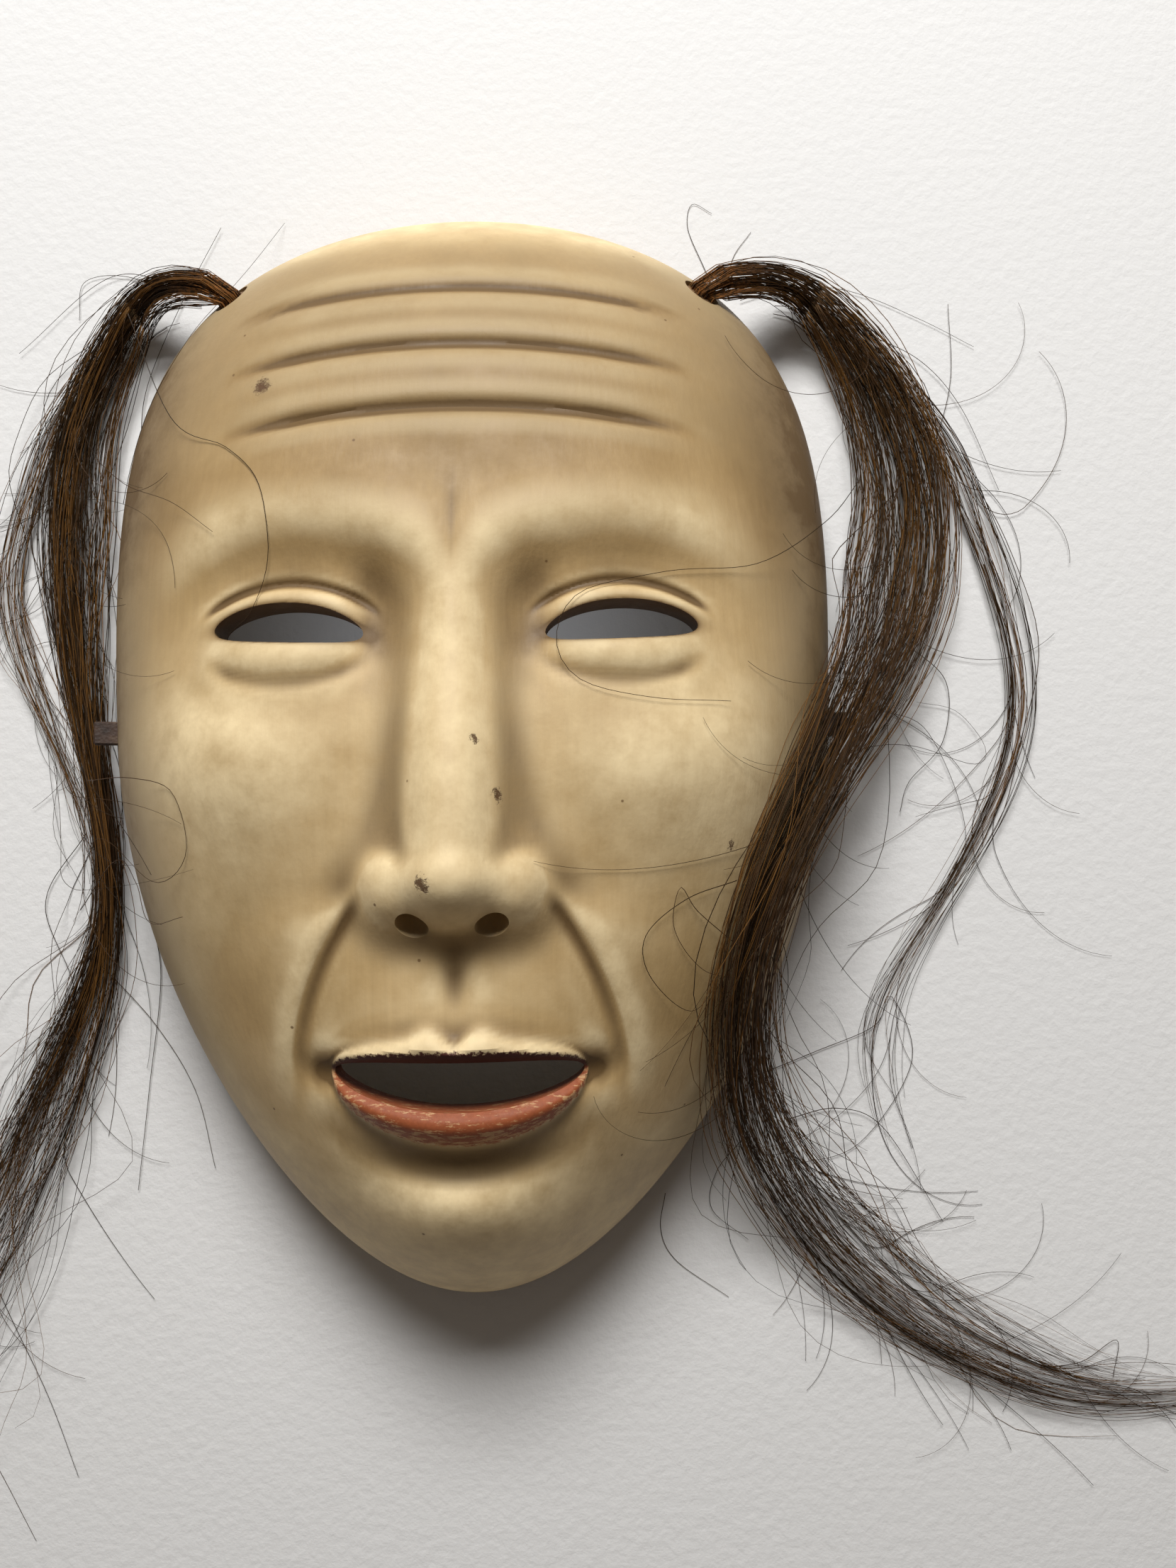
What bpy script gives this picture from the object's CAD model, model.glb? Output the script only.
"""A noh mask with horsehair at the temples: the fine carving, its paint, the hair, a floor and the light."""

import math
import random

import bmesh
import bpy
import numpy as np
from mathutils import Matrix, Vector


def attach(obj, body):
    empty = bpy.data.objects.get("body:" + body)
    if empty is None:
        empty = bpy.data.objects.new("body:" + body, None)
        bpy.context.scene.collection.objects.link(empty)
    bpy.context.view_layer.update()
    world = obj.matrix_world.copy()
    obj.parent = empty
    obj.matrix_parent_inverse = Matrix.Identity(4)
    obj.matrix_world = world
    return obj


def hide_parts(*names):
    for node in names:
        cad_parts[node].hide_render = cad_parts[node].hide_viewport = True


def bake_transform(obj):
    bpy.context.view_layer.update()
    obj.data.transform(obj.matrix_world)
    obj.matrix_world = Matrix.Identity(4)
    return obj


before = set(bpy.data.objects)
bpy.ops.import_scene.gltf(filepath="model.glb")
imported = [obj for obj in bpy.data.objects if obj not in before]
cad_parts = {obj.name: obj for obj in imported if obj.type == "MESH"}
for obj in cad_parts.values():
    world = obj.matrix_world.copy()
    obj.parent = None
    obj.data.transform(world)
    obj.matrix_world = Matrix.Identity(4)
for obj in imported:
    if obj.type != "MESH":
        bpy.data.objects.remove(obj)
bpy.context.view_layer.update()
MM = 0.001

# The carver's sizes, in metres. The face is described from its own middle, at CENTRE.
HEIGHT = 0.210
WIDTH = 0.140
DOME_RISE = 0.050
DOME_POWER = 2.7
SIDE_WALL = 0.0065
WIDEST = 1.0115
HALF = Vector((WIDTH / 2 / WIDEST, HEIGHT / 2))
CENTRE = Vector((0, HEIGHT / 2 - SIDE_WALL / 2, 0))

# The canon: hairline, brow, nose base and chin are a third apart, and the face is five eyes wide.
THIRD = 0.325 * HEIGHT
FIFTH = WIDTH / 5
CHIN_Y = 0.002 - HEIGHT / 2
NOSE_Y = CHIN_Y + THIRD
BROW_Y = NOSE_Y + THIRD
EYE_Y = CHIN_Y + 1.75 * THIRD
MOUTH_Y = NOSE_Y - THIRD / 3

EYE_MIDDLE_Y = EYE_Y - 1.0 * MM
EYE_HALF = (0.46 * FIFTH, 3.6 * MM)
EYE_BOW = 1.2 * MM
EYE_TILT = 0.06
MOUTH_HALF = (0.74 * FIFTH, 4.2 * MM)
MOUTH_BOW = -2.2 * MM
FOREHEAD_LINES = (0.30, 0.48, 0.66)  # in thirds above the brow
NOSTRIL_RADIUS = 2.7 * MM
TEMPLE_AT = (0.65, 0.81)
TEMPLE_RADIUS = 3.8 * MM
CORD_Y = 0.02
CORD_Z = 15 * MM
CORD_RADIUS = 3.0 * MM
SWING_OUT = 1.6 * MM  # how far outside its hole a tuft bends
SWING_AXIS = (0.95, 0.31225)  # the level axis that the right tuft swings about. The left one mirrors it
HAIR_SLOPE = 0.55  # the steepest that hair comes down from what holds it up
LOWEST_HAIR = -157 * MM  # curled hairs that reach lower are drawn again
MOST_PAST_AXIS = 4 * MM  # and so are those that reach further past their tuft's axis
BEND_POINTS = 8  # how many of a hair's points lie in the part that bends as its tuft swings

# The carving --------------------------------------------------------------------------------------


def fullness(b):
    """The outline's width over an ellipse's at this height: a broad forehead and a narrow chin."""
    return 1 + 0.08 * b + np.where(b > 0, 0.40, -0.15) * b * b


def bump(x, y, at_x, at_y, spread_x, spread_y, roundness=1.0):
    """A smooth rise, 1 in its middle. More roundness makes its top fuller and its foot steeper."""
    return np.exp(-(((x - at_x) / spread_x) ** 2 + ((y - at_y) / spread_y) ** 2) ** roundness)


def ramp(value, low, high):
    t = np.clip((value - low) / (high - low), 0, 1)
    return t * t * (3 - 2 * t)


def groove(distance, width):
    """One pass of a round gouge, 0 to 1."""
    return np.exp(-((distance / width) ** 2))


def either(one, other, soft):
    """The higher of two heights, blended where they cross."""
    return (one + other + np.sqrt((one - other) ** 2 + soft * soft)) / 2


def nose(x, y):
    """A straight ridge from between the eyes down to a round tip, with a wing on each side of it."""
    side = abs(x)
    along_it = ramp(y, EYE_Y + 0.20 * THIRD, NOSE_Y + 0.14 * THIRD)
    top = 1 - ramp(y, EYE_Y - 0.02 * THIRD, BROW_Y + 0.02 * THIRD)
    under = ramp(y, NOSE_Y - 0.015 * THIRD, NOSE_Y + 0.13 * THIRD)
    spread = 0.0062 + 0.0030 * along_it
    ridge = (0.0040 + 0.0095 * along_it) * top * under * np.exp(-((side / spread) ** 2) ** 1.25)
    tip = 0.0146 * bump(side, y, 0, NOSE_Y + 0.125 * THIRD, 0.0094, 0.0088, 1.3)
    wing = 0.0084 * bump(side, y, 0.335 * FIFTH, NOSE_Y + 0.105 * THIRD, 0.0068, 0.0076, 1.3)
    return either(either(ridge, tip, 0.0018), wing, 0.0060) - 0.00394


def fold_line(y):
    """How far up the cheek fold a height is, and how far out the fold lies there."""
    low = MOUTH_Y - 0.004
    t = (y - low) / (NOSE_Y + 0.009 - low)
    return t, (0.48 + 0.50 * (1 - t * abs(t))) * FIFTH


def cheek_fold(side, y):
    """The soft step from the cheek down to the upper lip, curving out from the nose's wing."""
    t, out = fold_line(y)
    past = side - out
    step = 0.0013 * (ramp(past, -0.0020, 0.0024) - ramp(past, 0.003, 0.020))
    return (step - 0.0006 * groove(past, 0.0016)) * ramp(t, -0.20, 0.25) * (1 - ramp(t, 0.72, 1.0))


def mouth_line(x):
    """How near the mouth's middle a point is, 0 at its corners and 1 there, and how high the mouth lies."""
    u = np.clip(1 - (x / (1.03 * MOUTH_HALF[0])) ** 2, 0, 1)
    return u, MOUTH_Y + MOUTH_BOW * u


def lips(x, y):
    """Two rolls round the mouth, fullest in the middle, with a groove under the lower one."""
    u, middle = mouth_line(x)
    full = np.maximum(np.sqrt(u), 0.001)
    up = y - middle - MOUTH_HALF[1] * np.sqrt(u)
    down = middle - MOUTH_HALF[1] * np.sqrt(u) - y
    upper = (0.0042 + 0.0010 * groove(abs(x) - 0.0048, 0.0030) - 0.0008 * groove(x, 0.0020)) * full
    lower = 0.0062 * full
    rise = 0.0024 * full * groove(up - 0.45 * upper, 0.50 * upper) * ramp(up, -0.004, -0.001)
    rise += 0.0032 * full * groove(down - 0.45 * lower, 0.52 * lower) * ramp(down, -0.004, -0.001)
    rise -= 0.0026 * bump(x, down, 0, 0.0105, 0.0150, 0.0042, 1.1)
    return rise - 0.0016 * bump(abs(x), y, MOUTH_HALF[0] + 0.0016, MOUTH_Y - 0.0006, 0.0038, 0.0032)


def lens_reach(x, y, middle, half, bow, tilt):
    """Where a point lies against a slit's outline: under 1 inside it, 1 on it, more outside."""
    u = (x - middle[0]) * math.cos(tilt) + (y - middle[1]) * math.sin(tilt)
    v = (y - middle[1]) * math.cos(tilt) - (x - middle[0]) * math.sin(tilt)
    lift = bow * (1 - (u / half[0]) ** 2)
    return np.sqrt((u / half[0]) ** 2 + ((v - lift) / half[1]) ** 2)


def eye_reach(x, y):
    return lens_reach(abs(x), y, (FIFTH, EYE_MIDDLE_Y), EYE_HALF, EYE_BOW, EYE_TILT)


def mouth_reach(x, y):
    return lens_reach(x, y, (0, MOUTH_Y), MOUTH_HALF, MOUTH_BOW, 0)


def relief(x, y):
    """What the features add to the dome at a point of the face, measured from the face's centre."""
    side = abs(x)
    brow_line = BROW_Y - 7 * (side - 0.95 * FIFTH) ** 2
    rise = nose(x, y)
    rise += 0.0036 * groove(y - brow_line, 0.0092) * np.exp(-(((side - 0.85 * FIFTH) / 0.027) ** 4))
    rise -= 0.0060 * bump(side, y, 0.98 * FIFTH, EYE_Y + 0.0045, 0.0175, 0.0120)
    rise -= 0.0030 * bump(side, y, 0.46 * FIFTH, EYE_Y + 0.001, 0.0055, 0.0100)
    rise += 0.0056 * bump(side, y, FIFTH, EYE_Y - 0.0005, 0.0142, 0.0092, 1.3)
    lid = EYE_Y + 0.0071 - 20 * (side - FIFTH) ** 2
    rise -= 0.0009 * groove(y - lid, 0.0011) * (1 - ramp(abs(side - FIFTH), 0.011, 0.0165))
    bag = EYE_Y - 0.0098 + 18 * (side - FIFTH) ** 2
    rise -= 0.0007 * groove(y - bag, 0.0018) * (1 - ramp(abs(side - FIFTH), 0.009, 0.0150))
    rise += 0.0044 * bump(side, y, 1.40 * FIFTH, EYE_Y - 0.34 * THIRD, 0.020, 0.015)
    rise -= 0.0022 * bump(side, y, 1.30 * FIFTH, MOUTH_Y + 0.004, 0.012, 0.016)
    rise -= 0.0022 * bump(side, y, 2.05 * FIFTH, BROW_Y + 0.004, 0.013, 0.026)
    rise += 0.0042 * bump(x, y, 0, MOUTH_Y + 0.001, 0.025, 0.0165)
    rise += cheek_fold(side, y) + lips(x, y)
    rise += 0.0074 * bump(x, y, 0, CHIN_Y + 0.235 * THIRD, 0.0185, 0.0118, 1.2)
    rise -= 0.0009 * bump(x, y, 0, NOSE_Y - 0.115 * THIRD, 0.0024, 0.0060)
    for line in FOREHEAD_LINES:
        middle = BROW_Y + line * THIRD - 1.8 * x * x
        rise -= 0.0013 * groove(y - middle, 0.0015) * (1 - ramp(side, 0.026, 0.044))
    return rise - edge_softening(x, y)


def edge_softening(x, y):
    """The paint lies thick and rounds over the edges of the eye and mouth openings."""
    past_eye = np.maximum(0, eye_reach(x, y) - 1) * EYE_HALF[1]
    past_mouth = np.maximum(0, mouth_reach(x, y) - 1) * MOUTH_HALF[1]
    return 0.0006 * np.exp(-past_eye / 0.0006) + 0.0008 * np.exp(-past_mouth / 0.0008)


def back_relief(x, y):
    """The broad hollows cut behind the nose, brow, mouth and chin, so the wall stays even."""
    rise = 0.0105 * bump(x, y, 0, NOSE_Y + 0.26 * THIRD, 0.0115, 0.0185)
    rise -= 0.0032 * bump(abs(x), y, FIFTH, EYE_Y + 0.002, 0.017, 0.014)
    rise += 0.0020 * bump(x, y, 0, MOUTH_Y, 0.026, 0.018)
    rise += 0.0034 * bump(x, y, 0, CHIN_Y + 0.25 * THIRD, 0.019, 0.013)
    return rise


def gouged_back_relief(x, y):
    """The back as the carver leaves it: rows of shallow scallops from a 9 mm gouge."""
    row = y / (9 * MM) + 0.35 * np.sin(x / (17 * MM))
    stroke = x / (21 * MM) + 0.5 * np.floor(row) + 0.2 * np.sin(7 * np.floor(row))
    scallop = abs(np.sin(math.pi * row)) * (0.75 + 0.25 * abs(np.sin(math.pi * stroke)))
    return back_relief(x, y) + 0.35 * MM * (scallop - 1)


def height_at(x, y, grow=0.0, features=relief):
    """The surface's height over the rim's plane, or of one that lies `grow` outside it. 0 beyond it."""
    b = np.clip(y / (HALF.y + grow), -0.999999, 0.999999)
    a = x / ((HALF.x + grow) * fullness(b))
    reach = np.minimum(np.hypot(a, b), 1)
    dome = (DOME_RISE + grow) * np.sqrt(1 - reach**DOME_POWER)
    return np.where(reach < 1, dome + features(x, y) * (1 - reach**6), 0.0)


def surface_normal(x, y):
    step = 0.4 * MM
    slope_x = (height_at(x + step, y) - height_at(x - step, y)) / (2 * step)
    slope_y = (height_at(x, y + step) - height_at(x, y - step)) / (2 * step)
    return Vector((-float(slope_x), -float(slope_y), 1)).normalized()


def temple_frame(side):
    """The mouth of a temple hole and the direction straight out of it."""
    x, y = side * TEMPLE_AT[0] * HALF.x, TEMPLE_AT[1] * HALF.y
    return Vector((x, y, float(height_at(x, y)))) + CENTRE, surface_normal(x, y)


def cord_frame(side):
    """Where a cord hole meets the outside of the side wall, at the height CORD_Z."""
    y = CORD_Y * HALF.y
    inner, outer = 0.5 * HALF.x, HALF.x * float(fullness(np.float64(CORD_Y)))
    for _ in range(40):
        x = (inner + outer) / 2
        if height_at(x, y) > CORD_Z:
            inner = x
        else:
            outer = x
    return Vector((side * inner, y, CORD_Z)) + CENTRE, Vector((side, 0, 0.25)).normalized()


def needs_finer(x, y):
    """Where the carving is sharpest: cheek folds, lid creases, and the edges of the eyes and mouth."""
    off_eye = abs(abs(x) - FIFTH)
    crease = (abs(y - EYE_Y - 0.0071 + 20 * off_eye**2) < 2.2 * MM) & (off_eye < 17 * MM)
    at_eye = abs(eye_reach(x, y) - 1) * EYE_HALF[1] < 1.3 * MM
    at_mouth = abs(mouth_reach(x, y) - 1) * MOUTH_HALF[1] < 1.6 * MM
    t, out = fold_line(y)
    at_fold = (abs(abs(x) - out) < 2.6 * MM) & (abs(t - 0.45) < 0.65)
    return crease | at_eye | at_mouth | at_fold


def dome_mesh(cells, cuts, detail, grow, features, base):
    """A closed dome: a grid bent round to the mask's outline, over a flat face at z = base."""
    bm = bmesh.new()
    bmesh.ops.create_grid(bm, x_segments=cells[0], y_segments=cells[1], size=1)

    def placed(verts):
        u, v = np.array([vert.co.xy for vert in verts]).T
        p = u * np.sqrt(1 - v * v / 2)
        q = v * np.sqrt(1 - u * u / 2)
        t = np.clip(np.hypot(p, q), 1e-9, 1)
        reach = np.sin(math.pi / 2 * t)
        a, b = reach * p / t, reach * q / t
        x = a * (HALF.x + grow) * fullness(b)
        y = b * (HALF.y + grow)
        dome = (DOME_RISE + grow) * np.sqrt(np.maximum(0, 1 - reach**DOME_POWER))
        return x, y, dome + features(x, y) * (1 - reach**6)

    def in_detail(x, y):
        return (x / detail[0]) ** 2 + (y / detail[1]) ** 2 < 1

    for wanted, splits in ((in_detail, cuts), (needs_finer, 1)) if cuts else ():
        x, y, _ = placed(bm.verts)
        bm.verts.index_update()
        inside = wanted(x, y)
        fine = [e for e in bm.edges if inside[e.verts[0].index] and inside[e.verts[1].index]]
        bmesh.ops.subdivide_edges(bm, edges=fine, cuts=splits, use_grid_fill=True)
    for vert, *point in zip(list(bm.verts), *placed(bm.verts)):
        vert.co = point
    rim = [edge for edge in bm.edges if edge.is_boundary]
    for vert in {v for edge in rim for v in edge.verts}:
        vert.co.z = 0
    if base < 0:
        skirt = bmesh.ops.extrude_edge_only(bm, edges=rim)["geom"]
        for vert in (g for g in skirt if isinstance(g, bmesh.types.BMVert)):
            vert.co.z = base
        rim = [edge for edge in bm.edges if edge.is_boundary]
    bmesh.ops.edgeloop_fill(bm, edges=rim)
    bmesh.ops.recalc_face_normals(bm, faces=bm.faces)
    bmesh.ops.translate(bm, verts=bm.verts, vec=CENTRE)
    return bm


# Objects ------------------------------------------------------------------------------------------


def linked(name, data):
    """A new object in the scene, of this data."""
    made = bpy.data.objects.new(name, data)
    bpy.context.scene.collection.objects.link(made)
    return made


def new_object(name, bm):
    mesh = bpy.data.meshes.new(name)
    bm.to_mesh(mesh)
    bm.free()
    return linked(name, mesh)


def carve(piece, cutters):
    """Takes the cutters' shapes out of the piece and keeps the result as its own mesh."""
    for cutter in cutters:
        modifier = piece.modifiers.new(cutter.name, "BOOLEAN")
        modifier.operation = "DIFFERENCE"
        modifier.solver = "MANIFOLD"
        modifier.object = cutter
    graph = bpy.context.evaluated_depsgraph_get()
    carved = bpy.data.meshes.new_from_object(piece.evaluated_get(graph))
    piece.modifiers.clear()
    piece.data = carved
    for cutter in cutters:
        bpy.data.objects.remove(cutter)


def along(direction):
    """The rotation that turns +Z to this direction."""
    return direction.to_track_quat("Z", "Y").to_matrix().to_4x4()


def rod(name, start, end, radius, sides=32):
    bm = bmesh.new()
    bmesh.ops.create_cone(
        bm, cap_ends=True, segments=sides, radius1=radius, radius2=radius,
        depth=(end - start).length, matrix=Matrix.Translation((start + end) / 2) @ along(end - start))
    return new_object(name, bm)


def lens_prism(name, half, middle, bow, tilt, low, high, sides=72):
    """A slit between two arcs that meet at its corners, straight through along Z."""
    bm = bmesh.new()
    bmesh.ops.create_circle(bm, cap_ends=True, segments=sides, radius=1)
    for vert in bm.verts:
        across, up = vert.co.xy
        vert.co = Vector((across * half[0], up * half[1] + bow * (1 - across * across), 0))
    bmesh.ops.rotate(bm, verts=bm.verts, matrix=Matrix.Rotation(tilt, 3, "Z"))
    bmesh.ops.translate(bm, verts=bm.verts, vec=Vector((*middle, low)) + CENTRE)
    top = bmesh.ops.extrude_face_region(bm, geom=bm.faces[:])["geom"]
    moved = [g for g in top if isinstance(g, bmesh.types.BMVert)]
    bmesh.ops.translate(bm, verts=moved, vec=(0, 0, high - low))
    bmesh.ops.recalc_face_normals(bm, faces=bm.faces)
    return new_object(name, bm)


# Materials ----------------------------------------------------------------------------------------


def linear(hex_colour):
    """An sRGB hex colour as the linear RGBA that the shader wants."""
    values = [int(hex_colour[k:k + 2], 16) / 255 for k in (1, 3, 5)]
    return (*(v / 12.92 if v <= 0.04045 else ((v + 0.055) / 1.055) ** 2.4 for v in values), 1)


def connect(tree, node, inputs):
    """Gives inputs their values, hex colours or sockets. A node stands for its first output."""
    for name, value in inputs.items():
        if isinstance(value, bpy.types.Node):
            value = value.outputs[0]
        if isinstance(value, bpy.types.NodeSocket):
            tree.links.new(value, node.inputs[name])
        else:
            node.inputs[name].default_value = linear(value) if isinstance(value, str) else value


def add(tree, kind, inputs=(), stops=(), **settings):
    """Adds a node with its settings and inputs, and a colour ramp's stops as places and hex colours."""
    node = tree.nodes.new("ShaderNode" + kind)
    for name, value in settings.items():
        setattr(node, name, value)
    connect(tree, node, dict(inputs))
    for k, (place, colour) in enumerate(stops):
        element = node.color_ramp.elements[k] if k < 2 else node.color_ramp.elements.new(place)
        element.position = place
        element.color = linear(colour)
    return node


def new_material(name, roughness, **settings):
    """A material, its node tree, the place it is asked about in metres, and its shader."""
    made = bpy.data.materials.new(name)
    made.use_nodes = True
    tree = made.node_tree
    shader = tree.nodes["Principled BSDF"]
    shader.inputs["Roughness"].default_value = roughness
    for setting, value in settings.items():
        shader.inputs[setting.replace("_", " ")].default_value = value
    return made, tree, add(tree, "TexCoord").outputs["Object"], shader


def scales(*sizes):
    """A pattern's scale along each axis, from the size of its marks in millimetres."""
    return [1 / (size * MM) for size in sizes]


def painted_gofun():
    """Gofun, ground oyster shell in glue, brushed on over cypress in many coats, tinted and burnished:
    a warm yellow beige with a soft sheen, darker where hands and smoke have soiled the hollows, paler
    where the raised parts are rubbed, with fine upright brush marks and small chips."""
    made, tree, place, shader = new_material("burnished gofun paint", 0.58, Specular_IOR_Level=0.35)
    cloud = add(tree, "TexNoise", {"Vector": place, "Scale": 1 / (32 * MM), "Detail": 5, "Roughness": 0.6})
    colour = add(tree, "ValToRGB", {"Fac": cloud},
                 stops=((0.30, "#A28555"), (0.72, "#CCAD7B"), (0.50, "#B79866")))
    brushed = add(tree, "Mapping", {"Vector": place, "Scale": scales(0.9, 26, 0.9)})
    marks = add(tree, "TexNoise", {"Vector": brushed, "Scale": 1, "Detail": 3})
    mark_share = add(tree, "MapRange", {"Value": marks, "From Min": 0.35, "From Max": 0.75,
                                        "To Max": 0.22})
    colour = add(tree, "Mix", {0: mark_share, 6: colour, 7: "#917247"},
                 data_type="RGBA").outputs[2]
    patchy = add(tree, "TexNoise", {"Vector": place, "Scale": 1 / (7 * MM), "Detail": 4, "Roughness": 0.65})
    rubbed = add(tree, "Attribute", attribute_name="rubbed").outputs["Fac"]
    rub_patch = add(tree, "Math", {0: patchy, 1: 1.5}, operation="MULTIPLY")
    rub_share = add(tree, "Math", {0: rubbed, 1: rub_patch}, operation="MULTIPLY",
                    use_clamp=True)
    colour = add(tree, "Mix", {0: rub_share, 6: colour, 7: "#EED7A9"}, data_type="RGBA").outputs[2]
    grime = add(tree, "Attribute", attribute_name="grime").outputs["Fac"]
    soiling = add(tree, "Math", {0: patchy, 1: 0.9}, operation="ADD")
    grime_share = add(tree, "Math", {0: grime, 1: soiling}, operation="MULTIPLY",
                      use_clamp=True)
    colour = add(tree, "Mix", {0: grime_share, 6: colour, 7: "#6C5433"}, data_type="RGBA").outputs[2]
    specks = add(tree, "TexVoronoi", {"Vector": place, "Scale": 1 / (5.5 * MM)})
    speck = add(tree, "MapRange", {"Value": specks, "From Min": 0.035, "From Max": 0.060,
                                   "To Min": 0.8, "To Max": 0})
    rare = add(tree, "SeparateColor", {"Color": specks.outputs["Color"]})
    chosen = add(tree, "Math", {0: rare, 1: 0.72}, operation="GREATER_THAN")
    speck_share = add(tree, "Math", {0: speck, 1: chosen}, operation="MULTIPLY")
    colour = add(tree, "Mix", {0: speck_share, 6: colour, 7: "#6B4E2E"}, data_type="RGBA").outputs[2]
    chip_share = chips(tree, place)
    colour = add(tree, "Mix", {0: chip_share, 6: colour, 7: "#52331B"}, data_type="RGBA").outputs[2]
    gloss = add(tree, "MapRange", {"Value": patchy, "From Min": 0.3, "From Max": 0.7,
                                   "To Min": 0.50, "To Max": 0.66})
    grit = add(tree, "TexNoise", {"Vector": place, "Scale": 1 / (0.7 * MM), "Detail": 3})
    grit_bump = add(tree, "Bump", {"Height": grit, "Strength": 0.20, "Distance": 0.12 * MM})
    mark_bump = add(tree, "Bump", {"Height": marks, "Strength": 0.30, "Distance": 0.18 * MM,
                                   "Normal": grit_bump})
    chip_depth = add(tree, "Math", {0: 1, 1: chip_share}, operation="SUBTRACT")
    chip_bump = add(tree, "Bump", {"Height": chip_depth, "Strength": 0.6, "Distance": 0.3 * MM,
                                   "Normal": mark_bump})
    connect(tree, shader, {"Base Color": lip_paint(tree, place, colour), "Roughness": gloss,
                           "Normal": chip_bump})
    return made


CHIPS = ((0.004, -0.004, 0.9), (0.0075, -0.013, 1.3), (-0.004, -0.027, 1.6), (-0.034, 0.060, 1.9),
         (0.046, -0.021, 1.0))  # where the paint is chipped: x and y from the face's middle, size in mm


def chips(tree, place):
    """How much of a point is bare in one of the few chips, 0 to 1. Their edges are broken."""
    broken = add(tree, "TexNoise", {"Vector": place, "Scale": 1 / (1.1 * MM), "Detail": 4, "Roughness": 0.8})
    shift = add(tree, "VectorMath", {0: broken.outputs["Color"], 1: (0.5, 0.5, 0.5)}, operation="SUBTRACT")
    spread = add(tree, "VectorMath", {0: shift, "Scale": 4.5 * MM}, operation="SCALE")
    moved = add(tree, "VectorMath", {0: place, 1: spread}, operation="ADD")
    total = 0.0
    for x, y, size in CHIPS:
        middle = Vector((x, y, float(height_at(x, y)))) + CENTRE
        far = add(tree, "VectorMath", {0: moved, 1: middle}, operation="DISTANCE")
        share = add(tree, "MapRange", {"Value": far.outputs["Value"], "From Min": 0.5 * size * MM,
                                       "From Max": 0.9 * size * MM, "To Min": 0.9, "To Max": 0})
        total = add(tree, "Math", {0: total, 1: share}, operation="MAXIMUM")
    return total


def lip_paint(tree, place, ground):
    """Vermilion in glue on the lips, ragged at its border and worn through to the ground in dashes."""
    inside = add(tree, "Attribute", attribute_name="lip").outputs["Fac"]
    upper = add(tree, "Attribute", attribute_name="upper_lip").outputs["Fac"]
    ragged = add(tree, "TexNoise", {"Vector": place, "Scale": 1 / (0.8 * MM), "Detail": 4, "Roughness": 0.7})
    wobble = add(tree, "MapRange", {"Value": ragged, "From Min": 0.3, "From Max": 0.7,
                                    "To Min": -0.6, "To Max": 0.6})
    edge = add(tree, "Math", {0: inside, 1: wobble}, operation="ADD")
    share = add(tree, "MapRange", {"Value": edge, "From Min": -0.15, "From Max": 0.25})
    dashes = add(tree, "Mapping", {"Vector": place, "Scale": scales(3.2, 0.9, 0.9)})
    worn = add(tree, "TexNoise", {"Vector": dashes, "Scale": 1, "Detail": 5, "Roughness": 0.75})
    near_edge = add(tree, "MapRange", {"Value": inside, "From Min": 0, "From Max": 3.0,
                                       "To Min": 0.10, "To Max": 0.0})
    worn_more = add(tree, "Math", {0: worn, 1: near_edge}, operation="ADD")
    worn_share = add(tree, "MapRange", {"Value": worn_more, "From Min": 0.55, "From Max": 0.62,
                                        "To Max": 0.75})
    red = add(tree, "Mix", {0: ragged, 6: "#7E3F22", 7: "#B0613A"}, data_type="RGBA").outputs[2]
    red = add(tree, "Mix", {0: worn_share, 6: red, 7: "#D0A878"}, data_type="RGBA").outputs[2]
    red = add(tree, "Mix", {0: upper, 6: red, 7: "#4A2018"}, data_type="RGBA").outputs[2]
    return add(tree, "Mix", {0: share, 6: ground, 7: red}, data_type="RGBA").outputs[2]


def opening_wall():
    """The walls of the eyes, nostrils and mouth, stained with lamp black and brown: dull and very dark."""
    made, tree, place, shader = new_material("lamp-black stained wood", 0.6)
    cloud = add(tree, "TexNoise", {"Vector": place, "Scale": 1 / (3 * MM), "Detail": 4})
    colour = add(tree, "ValToRGB", {"Fac": cloud},
                 stops=((0.3, "#231C17"), (0.8, "#5A4530"), (0.6, "#352920")))
    bumpy = add(tree, "Bump", {"Height": cloud, "Strength": 0.4, "Distance": 0.2 * MM})
    connect(tree, shader, {"Base Color": colour, "Normal": bumpy})
    return made


def lacquered_back():
    """Urushi lacquer wiped thin over the gouged cypress: dark red brown, glossy, rubbed to the wood on the
    crests between gouge cuts."""
    made, tree, place, shader = new_material("wiped lacquer on gouged cypress", 0.35)
    grain_space = add(tree, "Mapping", {"Vector": place, "Scale": scales(1.6, 60, 1.6)})
    grain = add(tree, "TexNoise", {"Vector": grain_space, "Scale": 1, "Detail": 4})
    cloud = add(tree, "TexNoise", {"Vector": place, "Scale": 1 / (22 * MM), "Detail": 4})
    dark = add(tree, "ValToRGB", {"Fac": cloud},
               stops=((0.3, "#2A170F"), (0.8, "#55341F"), (0.55, "#3D2416")))
    crest = add(tree, "Attribute", attribute_name="crest").outputs["Fac"]
    lit = add(tree, "Math", {0: crest, 1: grain}, operation="MULTIPLY", use_clamp=True)
    colour = add(tree, "Mix", {0: lit, 6: dark, 7: "#8A6238"}, data_type="RGBA").outputs[2]
    gloss = add(tree, "MapRange", {"Value": grain, "From Min": 0.3, "From Max": 0.7,
                                   "To Min": 0.28, "To Max": 0.45})
    bumpy = add(tree, "Bump", {"Height": grain, "Strength": 0.35, "Distance": 0.15 * MM})
    connect(tree, shader, {"Base Color": colour, "Roughness": gloss, "Normal": bumpy})
    return made


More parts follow.
